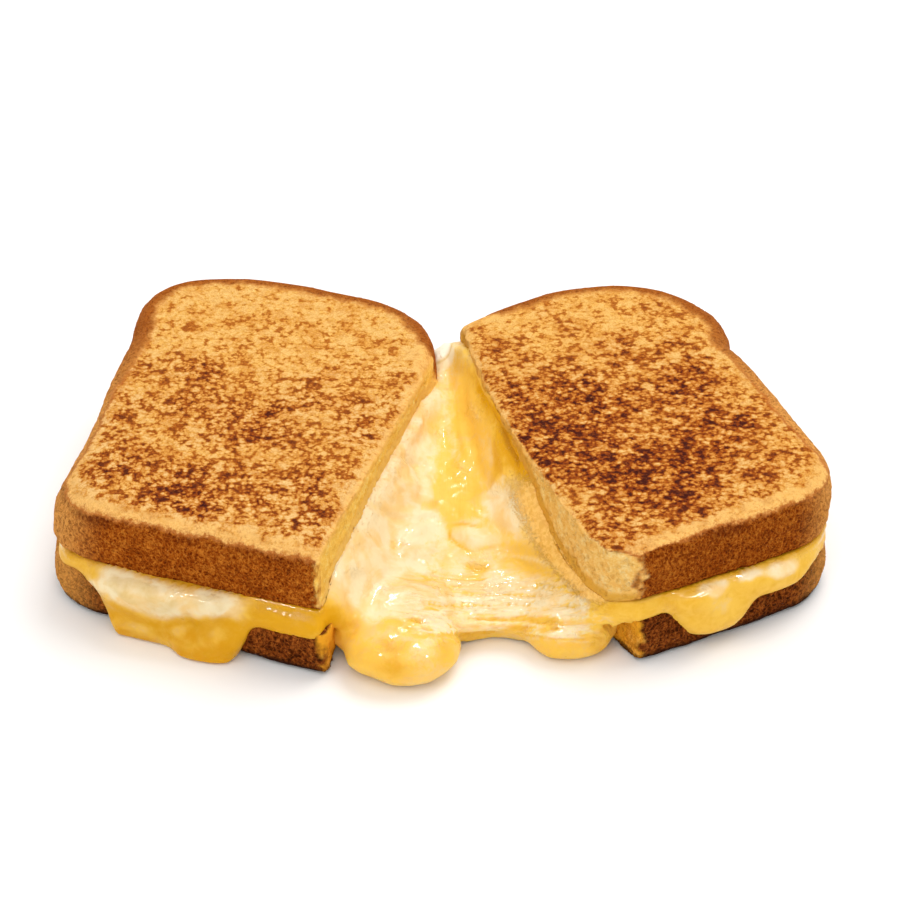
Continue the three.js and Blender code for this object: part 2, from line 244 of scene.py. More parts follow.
# For the upper (True) and the lower slice of each half: the line of its cut, and of its crust
OUTLINES = {
    ("left", True): (
        LEFT_CUT,
        np.concatenate([
            LEFT_DOME,
            bezier((-70.2, 61), (-68.8, 45), (-66.6, 30), (-67, 16)),
            bezier((-67, 16), (-67.2, 5), (-60, 0), (-47, -0.2)),
            line((-47, -0.2), (0, 0), 80),
        ]),
    ),
    ("left", False): (
        LEFT_CUT,
        np.concatenate([
            LEFT_DOME,
            bezier((-70.2, 61), (-69.4, 45), (-69.4, 34), (-69.8, 22)),
            bezier((-69.8, 22), (-70, 9), (-62, 4), (-47, 3)),
            line((-47, 3), (-24, 0.6)),
            line((-24, 0.6), (0, 0)),
        ]),
    ),
    ("right", True): (
        np.concatenate([
            bezier((0.6, 93.4), (-4.5, 76), (-8.6, 55), (-8.8, 20), 120),
            line((-8.8, 20), (-8.6, 6.5)),
            bezier((-8.6, 6.5), (-8.4, 4), (-5, 2.2), (-0.8, 0)),
        ]),
        RIGHT_CRUST,
    ),
    ("right", False): (
        np.concatenate([
            bezier((0.6, 93.4), (-3.5, 74), (-4.6, 45), (-2.6, 12), 120),
            bezier((-2.6, 12), (-2.3, 7), (-1.6, 3), (-0.8, 0)),
        ]),
        RIGHT_CRUST,
    ),
}


def local(half, p):
    """Points in the half's own frame: along its straight edge, towards its dome, up."""
    h = HALVES[half]
    x, y = p[:, 0] - h["corner"][0], p[:, 1] - h["corner"][1]
    c, s = math.cos(h["turn"]), math.sin(h["turn"])
    return np.stack([c * x + s * y, -s * x + c * y, p[:, 2]], -1)


def distance_to(flat, curve, chunk=8000):
    """How far (mm) points in a half's frame are from a curve, seen from above."""
    out = np.empty(len(flat))
    for i in range(0, len(flat), chunk):
        d = flat[i : i + chunk, None, :] - curve[None]
        out[i : i + chunk] = np.sqrt((d**2).sum(-1).min(1))
    return out


# -------------------------------- node graphs
def srgb(r, g, b):
    """A colour as a screen shows it (0 to 255), turned into light."""
    c = np.array([r, g, b], float) / 255
    return np.where(c <= 0.04045, c / 12.92, ((c + 0.055) / 1.055) ** 2.4)


class Graph:
    def __init__(self, name):
        self.material = bpy.data.materials.new(name)
        self.material.use_nodes = True
        self.tree = self.material.node_tree
        self.tree.nodes.clear()
        self.out = self.new("OutputMaterial")
        self.at = self.new("TexCoord").outputs["Object"]

    def new(self, kind, **props):
        n = self.tree.nodes.new("ShaderNode" + kind)
        for k, v in props.items():
            setattr(n, k, v)
        return n

    def put(self, socket, value):
        if isinstance(value, bpy.types.NodeSocket):
            self.tree.links.new(value, socket)
        elif hasattr(value, "__len__"):
            value = [float(v) for v in value]
            opaque = [1.0] if len(value) == 3 and socket.type == "RGBA" else []
            socket.default_value = value + opaque
        else:
            socket.default_value = value

    def math(self, op, a, b=0.0):
        n = self.new("Math", operation=op)
        self.put(n.inputs[0], a)
        self.put(n.inputs[1], b)
        return n.outputs[0]

    def add(self, a, b):
        return self.math("ADD", a, b)

    def mul(self, a, b):
        return self.math("MULTIPLY", a, b)

    def sub(self, a, b):
        return self.math("SUBTRACT", a, b)

    def swing(self, v, amount, middle=0.5):
        """A pattern that swings about nought, by that much."""
        return self.mul(self.sub(v, middle), amount)

    def smooth(self, v, lo, hi, to_lo=0.0, to_hi=1.0):
        n = self.new("MapRange", interpolation_type="SMOOTHSTEP")
        for k, x in zip(range(5), (v, lo, hi, to_lo, to_hi)):
            self.put(n.inputs[k], x)
        return n.outputs[0]

    def mix(self, f, a, b, blend="MIX"):
        """Colours a and b mixed. A Mix node keeps those at inputs 6 and 7, and output 2."""
        n = self.new("Mix", data_type="RGBA", blend_type=blend)
        self.put(n.inputs[0], f)
        self.put(n.inputs[6], a)
        self.put(n.inputs[7], b)
        return n.outputs[2]

    def blend(self, f, a, b):
        """Numbers a and b mixed: inputs 2 and 3, and output 0."""
        n = self.new("Mix", data_type="FLOAT")
        self.put(n.inputs[0], f)
        self.put(n.inputs[2], a)
        self.put(n.inputs[3], b)
        return n.outputs[0]

    def attr(self, name):
        return self.new("Attribute", attribute_name=name).outputs["Fac"]

    def where(self, stretch=(1, 1, 1), turn=0.0):
        """Coordinates in mm. A bigger stretch makes a pattern longer along that axis."""
        n = self.new("Mapping")
        self.put(n.inputs["Vector"], self.at)
        n.inputs["Scale"].default_value = [1 / MM / s for s in stretch]
        n.inputs["Rotation"].default_value = (0, 0, turn)
        return n.outputs[0]

    def noise(self, size, detail=3.0, rough=0.5, warp=0.0, at=None):
        n = self.new("TexNoise")
        self.put(n.inputs["Vector"], at or self.where())
        n.inputs["Scale"].default_value = 1 / size
        n.inputs["Detail"].default_value = detail
        n.inputs["Roughness"].default_value = rough
        n.inputs["Distortion"].default_value = warp
        return n.outputs["Fac"]

    def warped(self, size, amount, at=None):
        """Coordinates moved about by noise of that size (mm), by up to that much."""
        at = at or self.where()
        n = self.new("TexNoise")
        self.put(n.inputs["Vector"], at)
        n.inputs["Scale"].default_value = 1 / size
        n.inputs["Detail"].default_value = 2
        m = self.new("VectorMath", operation="MULTIPLY_ADD")
        self.put(m.inputs[0], n.outputs["Color"])
        m.inputs[1].default_value = (amount,) * 3
        self.put(m.inputs[2], at)
        return m.outputs[0]

    def voronoi(self, size, feature, at):
        n = self.new("TexVoronoi", feature=feature)
        self.put(n.inputs["Vector"], at)
        n.inputs["Scale"].default_value = 1 / size
        return n.outputs["Distance"]

    def ramp(self, f, *stops):
        n = self.new("ValToRGB")
        el = n.color_ramp.elements
        while len(el) < len(stops):
            el.new(0.5)
        for e, (pos, colour) in zip(el, stops):
            e.position = pos
            e.color = (*colour, 1)
        self.put(n.inputs[0], f)
        return n.outputs[0]

    def bump(self, height, mm):
        n = self.new("Bump")
        n.inputs["Strength"].default_value = 1.0
        n.inputs["Distance"].default_value = mm * MM
        self.put(n.inputs["Height"], height)
        return n.outputs[0]

    def surface(self, colour, roughness, normal=None, **own):
        """The material, with any other input of its shader by name."""
        n = self.new("BsdfPrincipled")
        self.put(n.inputs["Base Color"], colour)
        self.put(n.inputs["Roughness"], roughness)
        if normal:
            self.put(n.inputs["Normal"], normal)
        for k, v in own.items():
            self.put(n.inputs[k.replace("_", " ")], v)
        self.tree.links.new(n.outputs[0], self.out.inputs["Surface"])
        return self.material


# -------------------------------- bread
def seen(r, g, b, light=1.2):
    """The surface colour that shows as this colour (0 to 255) where that much light falls."""
    return srgb(r, g, b) / light


def bread_material(name, upper, side):
    g = Graph(name)
    crust, cut, edge, dens = g.attr("crust"), g.attr("cut"), g.attr("edge"), g.attr("dens")
    right = side == "right"

    # the toasted face: golden bread, browned in patches, most on the fine ridges that met the pan
    if right:
        along = g.where((1.25, 1.0, 1.0), turn=math.radians(-14))
    else:
        along = g.where((1.1, 1.0, 1.0))
    flecks = g.noise(2.0, 5, 0.62, 0.0, along)
    cell = g.voronoi(1.0, "F1", g.warped(0.8, 0.7, along))
    grain = g.noise(0.33, 2, 0.6)
    soft = g.noise(4.0, 3, 0.55)
    browning = g.add(g.sub(flecks, 0.5), g.swing(cell, 0.3, 0.47))
    browning = g.add(browning, g.add(g.swing(grain, 0.16), g.swing(soft, 0.3)))
    browning = g.add(browning, g.sub(g.swing(dens, 0.16), 0.03))
    # it fades out towards the pale rim along the crust
    wander = g.add(edge, g.swing(g.noise(4, 3, 0.65), 4.5))
    browning = g.sub(browning, g.mul(g.smooth(wander, 5.4, 1.4), 0.17))
    heavy = g.smooth(dens, 0.1, 0.85)

    def tone(light, dark):
        """A colour that darkens where the toasting is heavy."""
        return g.mix(heavy, seen(*light), seen(*dark))

    def browned(lo, hi, lightly, heavily):
        """How much a tone shows as the browning goes from lo to hi, in light and heavy places."""
        return g.mul(g.smooth(browning, lo, hi), g.blend(heavy, lightly, heavily))

    tan = g.noise(1.0, 4, 0.7, 0.0, along)
    ridges = g.math("ABSOLUTE", g.sub(g.noise(0.8, 2, 0.55, 0.3, along), 0.5))
    on_ridge = g.mul(g.smooth(ridges, 0.05, 0.0), g.smooth(browning, -0.03, 0.05))
    # pale unbrowned bread where the browning is low, with painted highlights on these pale spots
    unbrowned_and_highlight = seen(252, 208, 132) if right else seen(255, 214, 144)
    speckle = g.mix(g.smooth(grain, 0.3, 0.7), srgb(70, 46, 24), srgb(250, 250, 250))
    face = tone((248, 188, 94), (226, 150, 62) if right else (230, 158, 70))
    face = g.mix(g.mul(g.smooth(tan, 0.4, 0.6), 0.6), face, tone((226, 156, 66), (206, 128, 48)))
    face = g.mix(browned(-0.05, -0.17, 0.35, 0.78), face, unbrowned_and_highlight)
    face = g.mix(g.mul(g.smooth(soft, 0.45, 0.65), 0.5), face, tone((224, 148, 54), (208, 128, 46)))
    face = g.mix(browned(-0.035, 0.035, 0.75, 0.88), face, tone((204, 116, 28), (184, 94, 18)))
    face = g.mix(browned(0.01, 0.08, 0.6, 0.9), face, tone((168, 80, 14), (146, 61, 8)))
    face = g.mix(g.mul(on_ridge, g.blend(heavy, 0.2, 0.7)), face, seen(98, 30, 8))
    face = g.mix(g.mul(g.smooth(browning, 0.1, 0.17), heavy), face, seen(74, 22, 8))
    face = g.mix(0.45, face, speckle, "SOFT_LIGHT")
    # the pale rim along the crust
    golden = g.mix(
        g.smooth(grain, 0.38, 0.62), seen(255, 206, 120, 1.04), seen(242, 174, 88, 1.08)
    )
    golden = g.mix(g.mul(g.smooth(tan, 0.5, 0.66), 0.6), golden, seen(214, 138, 60, 1.1))
    face = g.mix(g.mul(g.smooth(wander, 3.6, 1.0), 0.75), face, golden)

    # the crust: a dry felt of brown fibres and little pores, paler at the ends
    web = g.voronoi(0.9 if upper else 1.25, "DISTANCE_TO_EDGE", g.warped(1.1, 0.75))
    felt = g.noise(0.75, 4, 0.72 if upper else 0.6, 0.6, g.where((1.0, 1.0, 1.3)))
    blotched = g.add(felt, g.swing(g.noise(6, 3, 0.6), 0.3))
    light = (1.1 if right else 1.0) * (1.0 if upper else 0.8)
    if upper:
        low, mid, high = seen(88, 28, 0, light), seen(142, 60, 1, light), seen(196, 116, 36, light)
        end = g.mix(g.attr("dome"), seen(232, 164, 82, 1), seen(176, 98, 34, 1.05))
    else:
        low, mid, high = seen(46, 14, 0, light), seen(98, 40, 6, light), seen(150, 82, 28, light)
        end = seen(206, 142, 66, 0.85)
    at_ends = g.mul(g.attr("ends"), g.smooth(felt, 0.35, 0.6, 0.3 if upper else 0.55, 0.9))
    brown = g.ramp(blotched, (0.33, low), (0.49, mid), (0.66, high))
    # the walls between the pores lighter, and painted shade in the pores, darker
    brown = g.mix(g.mul(g.smooth(web, 0.13, 0.0), 0.3), brown, high)
    brown = g.mix(g.mul(g.smooth(web, 0.22, 0.4), 0.6 if upper else 0.85), brown, low)
    brown = g.mix(at_ends, brown, end)
    # darker along the toasted rim, where it met the pan, and a speckled turn to the toasted face
    specks = g.noise(0.8, 4, 0.7, 0.3)
    rim = g.add(g.attr("char"), g.swing(specks, 1.8 if upper else 1.3))
    dark = seen(96, 34, 4, 1) if upper else seen(22, 8, 2, 1)
    brown = g.mix(g.mul(g.smooth(rim, 0.35, 1.2), 0.6 if upper else 0.95), brown, dark)
    if upper:
        turned = g.add(crust, g.swing(specks, 1.3))
        turning = g.mix(g.attr("dome"), seen(192, 104, 42, 1.1), seen(210, 134, 58, 1.1))
        face = g.mix(g.mul(g.smooth(turned, 0.02, 0.42), 0.85), face, turning)
        crust = g.smooth(turned, 0.3, 0.9)
    else:
        face = g.mix(g.smooth(edge, 7, 3), face, seen(48, 19, 5, 1))

    # the cut: open crumb, yellowed by the cheese
    holes = g.voronoi(1.5, "F1", g.warped(1.4, 0.9))
    fuzz = g.noise(0.5, 4, 0.7, 1.0)
    mixed = g.add(g.mul(fuzz, 0.55), g.mul(g.noise(2.6, 3, 0.6), 0.45))
    lit = 1.1 if upper else 0.8

    def crumb_of(*tones):
        return g.ramp(mixed, *((pos, seen(*rgb, lit)) for pos, *rgb in tones))

    if not upper:
        crumb = crumb_of((0.34, 130, 72, 14), (0.5, 196, 130, 34), (0.66, 232, 176, 80))
        cheesy = seen(222, 152, 36, 0.9)
    elif right:  # paler at the front corner, where no cheese reaches it
        crumb = crumb_of((0.36, 236, 172, 80), (0.5, 252, 200, 104), (0.62, 255, 226, 152))
        pale = crumb_of((0.36, 240, 174, 84), (0.5, 252, 200, 108), (0.62, 255, 222, 152))
        crumb = g.mix(g.attr("ends"), pale, crumb)
        cheesy = seen(230, 168, 60, lit)
    else:
        crumb = crumb_of((0.36, 234, 176, 76), (0.5, 252, 200, 88), (0.62, 255, 226, 136))
        cheesy = seen(246, 198, 104, lit)
    if upper:
        # painted shade in the crumb's holes
        shade_in_holes = g.mul(g.smooth(holes, 0.42, 0.16), 0.25 if right else 0.12)
        crumb = g.mix(shade_in_holes, crumb, seen(220, 152, 54, lit))
    wetted = g.add(g.attr("soaked"), g.swing(fuzz, 1.2))
    crumb = g.mix(g.mul(g.smooth(wetted, 0.2, 0.8), 0.9), crumb, cheesy)
    if upper:
        on_brim = g.mul(g.smooth(g.attr("brim"), 0.0, 1.0), 0.6)
        crumb = g.mix(on_brim, crumb, seen(244, 184, 96, lit))
    else:
        crumb = g.mix(g.mul(g.smooth(rim, 0.45, 1.0), 0.9), crumb, seen(60, 26, 8, 1))

    colour = g.mix(cut, g.mix(crust, face, brown), crumb)
    # relief too fine for the mesh
    h_face = g.add(g.mul(tan, 0.9), g.mul(grain, 0.5))
    h_crust = g.add(g.mul(felt, 0.8), g.mul(g.smooth(web, 0.0, 0.35), -0.45 if upper else -0.9))
    h_cut = g.add(g.mul(fuzz, 0.7), g.mul(g.smooth(holes, 0.15, 0.5), 0.8))
    if not right:
        h_cut = g.mul(h_cut, 0.5)
    height = g.blend(cut, g.blend(crust, h_face, h_crust), h_cut)
    r_face = g.blend(g.smooth(browning, 0.0, 0.15), 0.75, 0.55)
    rough = g.blend(cut, g.blend(crust, r_face, 0.8), 0.9)
    return g.surface(colour, rough, g.bump(height, mm=0.45), Specular_IOR_Level=0.03)


# Where the toasting is heavier or lighter than elsewhere: place in the half's frame, reach, by
# how much
TOASTING = {
    "left": [
        ((-34, 20), 20, 0.22),
        ((-14, 16), 12, 0.25),
        ((-30, 40), 16, 0.1),
        ((-30, 88), 24, -0.4),
        ((-60, 84), 14, -0.4),
        ((-67, 34), 8, 0.35),
        ((-58, 8), 8, 0.15),
        ((-8, 84), 12, -0.3),
    ],
    "right": [
        ((2, 36), 15, 0.5),
        ((14, 20), 14, 0.5),
        ((34, 26), 16, 0.3),
        ((12, 56), 14, 0.45),
        ((30, 44), 14, 0.15),
        ((20, 88), 24, -0.3),
        ((0, 62), 12, 0.1),
        ((48, 66), 9, -0.15),
        ((44, 30), 12, 0.05),
    ],
}


# Where a slice's edge bulges or gives a little as it sits: place in the half's frame, reach, by
# how much (mm), and what moves: its upper side, its lower side or all of its thickness
UPSIDE, UNDERSIDE, ALL = 1, -1, 0
SETTLED = {
    ("left", True): [
        ((-68, 8), 16, (0.9, 0.3, -2.2), UPSIDE),
        ((-69, 26), 13, (0.9, 0, -0.5), UPSIDE),
        ((-66, 4), 14, (-2.6, -0.6, 0), UNDERSIDE),
        ((-69, 44), 14, (-0.3, 0, 0), ALL),
        ((-36, 96), 36, (0, 0.7, 0), ALL),
        ((-30, 0), 24, (0, 0, -1.0), UNDERSIDE),
    ],
    ("left", False): [
        ((-57, 4), 13, (-0.1, -3.4, 0), ALL),
        ((-65.5, 7.5), 6, (-0.4, -1.6, 0), ALL),
        ((-8, 0), 20, (0, -1.0, 0), ALL),
        ((2, 4), 6, (2.0, -0.3, 0), ALL),
        ((-70, 24), 12, (-0.2, 0, 0), ALL),
        ((-12, 1), 16, (0, -1.3, 0), ALL),
        ((0, 0), 6, (0.6, -0.4, 0), ALL),
    ],
    ("right", True): [
        ((56, 46), 20, (-0.7, 0, 0), ALL),
        ((57, 30), 12, (-0.6, 0, 0), ALL),
        ((54, 12), 10, (0.5, 0, 0), ALL),
        ((20, 96), 30, (0, -0.2, 0), ALL),
        ((50, 6), 12, (0, 0, -0.8), UPSIDE),
    ],
    ("right", False): [
        ((14, 0), 20, (0, -1.6, 0), ALL),
        ((34, 0), 12, (0, -0.5, 0), ALL),
        ((0, 0), 6, (-0.3, -0.4, 0), ALL),
    ],
}


def climb(side, v):
    """How far (mm) melted cheese creeps up an upper slice's cut, v from the cut's front corner."""
    if side == "left":
        return np.interp(v, (2, 10, 40, 60, 74, 80), (0, 4.6, 4.4, 3.4, 2.0, 0))
    return np.interp(v, (2, 20, 29, 38, 48, 80, 90, 96), (0, 1.0, 2.2, 4.8, 6.2, 6.0, 3.5, 0))


def bread(side, upper):
    name = f"{side}_{'top' if upper else 'bottom'}_slice"
    mesh = remeshed(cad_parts[name].data.copy(), BREAD_FACE)
    mesh = smoothed(mesh, times=3)
    rounder = points(smoothed(mesh.copy(), times=14))
    p, n = points(mesh), normals(mesh)
    q = local(side, p)
    u, v = q[:, 0], q[:, 1]
    cut_line, crust_line = OUTLINES[side, upper]
    d_cut, d_crust = distance_to(q[:, :2], cut_line), distance_to(q[:, :2], crust_line)
    lo, hi = p[:, 2].min(), p[:, 2].max()
    share = (p[:, 2] - lo) / (hi - lo)  # from the lower face to the upper one
    to_toast = share if upper else 1 - share
    outward = n[:, 2] if upper else -n[:, 2]

    # what each point belongs to: the cut, the crust or the toasted face
    is_side = 1 - step(0.55, 0.85, np.abs(n[:, 2]))
    ragged = (1.8 if upper else 2.2) * fbm(p, 2.5, 3, seed=5) + 0.9 * noise(p, 1.1, 6)
    behind = (4.0 if side == "left" else 1.0) * step(60, 74, v)
    border = d_crust - d_cut + ragged + behind - (0.2 if upper else -0.2)
    is_cut = is_side * step(-1.3, 1.3, border)
    # the crust's brown stops below the rounded edge in front, and reaches on to the toasted face
    # round the dome
    dome = np.maximum(step(20, 66, v), 0.6 * step(-60, -68, u) * step(6, 20, v))
    if side == "right":
        dome = np.maximum(dome, 0.95 * step(45, 52, u) * step(5, 18, v))
    dome = dome * step(1.0, 14.0, d_cut)
    drop = hi - p[:, 2] if upper else p[:, 2] - lo  # mm below the toasted face
    drop = drop + 0.5 * fbm(p, 4, 2, seed=10) + 0.5 * noise(p, 0.9, 14)
    low_edge = step(0.2, 3.2, drop) if upper else step(1.3, 2.9, drop)
    low_edge = low_edge * step(0.97, 0.7, outward)
    reach = step(2.2, -1.6, d_crust - 4.6 * dome + 1.0 * fbm(p, 3, 3, seed=9))
    reach = reach * np.minimum(1, 4 * dome)
    is_crust = np.clip(np.maximum(low_edge, reach) - is_cut, 0, 1)
    toast = (1 - is_crust) * step(-0.2, 0.2, outward) * (1 - is_cut)

    # how it is toasted, and how the cheese has wetted it
    dens = 0.42 + 0.36 * fbm(p, 14, 3, seed=21) + 0.2 * noise(p, 6, 33)
    for (u0, v0), radius, amount in TOASTING[side]:
        dens += amount * np.exp(-(((u - u0) ** 2 + (v - v0) ** 2) / radius**2))
    if upper:
        scorch = 0.7 + 0.9 * fbm(p, 9, 2, seed=15) + 0.2 * step(-44, -60, u) - 0.9 * dome
        char = step(1.0, 2.6, drop) * step(7.0, 2.4, drop) * scorch * step(0.5, 5, d_cut)
    else:
        char = step(0.5, 1.0, to_toast)
    to_cut = 1.9 * d_cut + 1.0 if side == "left" else 3.2 * d_cut + 1.8
    edge = 0.85 * np.minimum(d_crust, to_cut) - 0.8 * step(40, 80, v)
    ends = step(14, 34, v) if upper else step(6, 24, v)
    ends = np.maximum(ends, step(-50, -64, u) if side == "left" else step(38, 52, u))
    soaked, by_cheese, cuts = np.zeros(len(p)), np.zeros(len(p)), is_cut > 0.2
    to_cheese = nearest(CHEESE, p[cuts], most=12)[0]
    up = climb(side, v[cuts]) if upper else 0
    soaked[cuts] = step(up + 4.5, up + 0.5, to_cheese)
    by_cheese[cuts] = step(1.6, 0.5, to_cheese)
    attributes = dict(
        crust=is_crust,
        cut=is_cut,
        edge=edge,
        dome=step(30, 70, v),
        dens=dens,
        char=char,
        ends=ends,
        soaked=soaked,
        brim=step(3.0, 0.6, hi - p[:, 2]),
    )

    # relief: waves on the toasted face, felt and pores in the crust, holes and crumb in the cut
    move = toast * (
        0.22 * fbm(p, 15, 2, seed=2) + 0.18 * fbm(p, 7, 2, seed=3) + 0.12 * fbm(p, 1.7, 2, seed=4)
    )
    felt = 0.3 * fbm(p, 9, 2, seed=7) + 0.17 * fbm(p, 1.6, 3, 0.6, seed=8)
    pits = step(0.5, 0.2, cells(p, 1.7, 40))
    move += is_crust * (felt - (0.18 if upper else 0.42) * pits)
    big = step(0.52, 0.2, cells(p, (3.2, 3.2, 2.4), 50)) * step(-0.2, 0.3, noise(p, 7, 51))
    small = step(0.55, 0.2, cells(p, 1.5, 60))
    crumb = 0.35 * fbm(p, 2.2, 3, 0.6, seed=11) + 0.25 * fbm(p, 8, 2, seed=12)
    crumb = crumb - (0.85 if side == "right" else 0.3) * big - 0.3 * small
    move += is_cut * crumb
    move = np.where(is_side + toast > 0.02, move, 0)
    # where the cheese clings to it, even, and out to meet the cheese
    move = np.where(by_cheese > 0, move * (1 - by_cheese) + 0.45 * by_cheese, move)
    corners = np.exp(-(d_cut**2 + d_crust**2) / 3.0**2)
    p = p + corners[:, None] * (rounder - p) + n * (move * (1 - 0.6 * corners))[:, None]
    turn = HALVES[side]["turn"]
    c, s = math.cos(turn), math.sin(turn)
    for (u0, v0), radius, (du, dv, dz), part in SETTLED[side, upper]:
        w = np.exp(-(((u - u0) ** 2 + (v - v0) ** 2) / radius**2) - (d_crust / 9) ** 2)
        w = w * {ALL: 1, UPSIDE: share, UNDERSIDE: 1 - share}[part]
        p[:, 0] += w * (c * du - s * dv)
        p[:, 1] += w * (s * du + c * dv)
        p[:, 2] += w * dz
    if upper:  # the toasted face rolls over softly towards its crust
        p[:, 2] -= 1.1 * step(5.5, 0, d_crust) ** 2 * step(0.4, 1, share)
    # the rim between face and cut crumbles away a little
    corner = step(2.6, 0.2, d_cut) * step(0.75, 1.0, to_toast) * step(0.5, 3, d_crust)
    p[:, 2] -= (1 if upper else -1) * corner * (0.55 + 0.5 * fbm(p, 1.8, 2, seed=13))
    p[:, 2] = np.clip(p[:, 2], 0, CAD_BOX[1][2] / MM)
    set_points(mesh, p)

    finished(mesh, bread_material(name + "_bread", upper, side), attributes)
    o = new_object(name + "_bread", mesh)
    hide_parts(name)
    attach(o, "root")


def bvh(name):
    """A node's solid, ready to be asked how near it is."""
    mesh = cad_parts[name].data
    mesh.calc_loop_triangles()
    return BVHTree.FromPolygons(
        [v.co[:] for v in mesh.vertices], [t.vertices[:] for t in mesh.loop_triangles]
    )


CHEESE_NODES = ("yellow_cheese", "left_white_cheese", "right_white_cheese")
CHEESE = [bvh(name) for name in CHEESE_NODES]
BREAD = [bvh(f"{s}_{k}_slice") for s in ("left", "right") for k in ("top", "bottom")]


def nearest(trees, p, most):
    """How far (mm, at most that far) each point is from the solids, and which way they lie."""
    gap, way = np.full(len(p), float(most)), np.zeros((len(p), 3))
    for i, v in enumerate((p * MM).tolist()):
        for t in trees:
            hit = t.find_nearest(v, gap[i] * MM)
            if hit[0] is not None:
                gap[i] = hit[3] / MM
                way[i] = hit[0]
                way[i] -= v
    return gap, way / np.maximum(np.linalg.norm(way, axis=1, keepdims=True), 1e-9)


for half in ("left", "right"):
    for is_upper in (True, False):
        bread(half, is_upper)

# -------------------------------- cheese
# Broad patches on the cheese: where they show, reach, turn (degrees), milk (0 yellow, 1 cream,
# more is whiter), amber (0 to 1, more is darker), strength
PATCHES = [
    ((448, 520), (120, 190), 0, 0.5, 0.1, 1.0),
    ((400, 455), (38, 92), 24, 1.0, 0.0, 1.0),
    ((372, 555), (56, 62), 0, 1.0, 0.0, 1.0),
    ((385, 600), (50, 26), 0, 0.9, 0.05, 1.0),
    ((436, 392), (9, 44), 12, 0.8, 0.0, 0.8),
    ((464, 412), (16, 62), -18, 0.28, 0.12, 1.0),
    ((503, 448), (11, 60), -31, 0.12, 0.8, 0.9),
    ((455, 486), (24, 28), 0, 0.04, 0.2, 1.0),
    ((462, 514), (24, 12), 14, 0.2, 0.15, 0.9),
    ((446, 508), (9, 12), -20, 0.15, 0.3, 0.6),
    ((466, 428), (30, 70), -14, 0.2, 0.1, 0.8),
    ((483, 474), (9, 22), -20, 0.55, 0.0, 0.6),
    ((506, 512), (27, 19), -35, 0.85, 0.0, 0.9),
    ((534, 524), (16, 26), -45, 0.5, 0.25, 0.8),
    ((478, 540), (24, 8), -10, 0.9, 0.0, 0.7),
    ((452, 544), (10, 9), 0, 0.7, 0.1, 0.6),
    ((538, 561), (48, 20), -12, 0.28, 0.5, 1.0),
    ((580, 572), (30, 14), -30, 0.5, 0.35, 0.9),
    ((484, 572), (40, 12), 0, 0.6, 0.2, 0.8),
    ((490, 596), (104, 12), -2, 0.85, 0.05, 1.0),
    ((470, 614), (76, 11), 4, 0.85, 0.0, 0.9),
    ((570, 606), (38, 14), 0, 0.85, 0.05, 0.9),
    ((500, 628), (44, 10), 0, 0.45, 0.15, 0.9),
    ((474, 640), (26, 7), 0, 0.1, 0.45, 0.8),
    ((400, 544), (12, 7), -20, 0.35, 0.25, 0.8),
    ((428, 504), (11, 7), 10, 0.25, 0.4, 0.6),
    ((431, 428), (5, 14), 24, 0.45, 0.2, 0.7),
    ((412, 474), (12, 10), 0, 0.6, 0.1, 0.5),
    ((436, 350), (21, 23), -8, 1.6, 0.0, 1.0),
    ((400, 668), (64, 34), 0, 0.25, 0.3, 1.0),
    ((410, 642), (34, 18), -10, 0.22, 0.42, 0.8),
    ((388, 632), (30, 12), 0, 0.55, 0.15, 0.7),
    ((392, 668), (15, 13), 20, 0.0, 0.55, 0.8),
    ((426, 656), (18, 20), 0, 0.6, 0.1, 0.7),
    ((400, 628), (24, 8), 0, 0.2, 0.3, 0.7),
    ((414, 620), (12, 5), 0, 0.0, 0.7, 0.9),
    ((424, 682), (30, 10), 20, 0.55, 0.3, 0.7),
    ((570, 648), (48, 22), 0, 0.28, 0.3, 1.0),
    ((556, 632), (28, 9), 0, 0.65, 0.15, 0.8),
    ((600, 648), (13, 11), 0, 0.1, 0.6, 0.8),
    ((555, 624), (12, 5), 0, 0.0, 0.7, 0.8),
    ((595, 618), (26, 10), 0, 0.6, 0.2, 0.7),
    ((190, 636), (150, 60), -14, 0.1, 0.85, 1.0),
    ((180, 632), (10, 6), 20, 0.5, 0.2, 0.6),
    ((210, 640), (16, 8), 10, 0.35, 0.3, 0.6),
    ((140, 628), (14, 5), -20, 0.6, 0.1, 0.5),
    ((150, 593), (60, 20), -18, 1.12, 0.0, 1.0),
    ((118, 581), (36, 13), -24, 1.1, 0.0, 0.9),
    ((212, 603), (38, 17), -12, 1.05, 0.0, 1.0),
    ((127, 572), (16, 5), -16, 0.8, 0.3, 0.5),
    ((168, 591), (12, 8), -16, 0.85, 0.25, 0.5),
    ((72, 557), (36, 12), -26, 0.0, 0.6, 1.0),
    ((296, 614), (62, 24), -6, 0.0, 1.02, 1.0),
    ((150, 634), (50, 8), -16, 0.4, 0.3, 0.6),
    ((716, 590), (130, 44), 22, 0.08, 0.48, 1.0),
    # these three: white cheese showing through the right curtain, with painted highlights where it
    # is glossy
    ((714, 590), (18, 9), 20, 1.15, 0.0, 0.6),
    ((750, 576), (15, 9), 20, 1.15, 0.0, 0.6),
    ((782, 567), (20, 9), 20, 1.2, 0.0, 0.65),
    ((722, 606), (14, 10), 20, 0.6, 0.1, 0.5),
    ((640, 604), (46, 14), 0, 0.1, 0.55, 1.0),
]
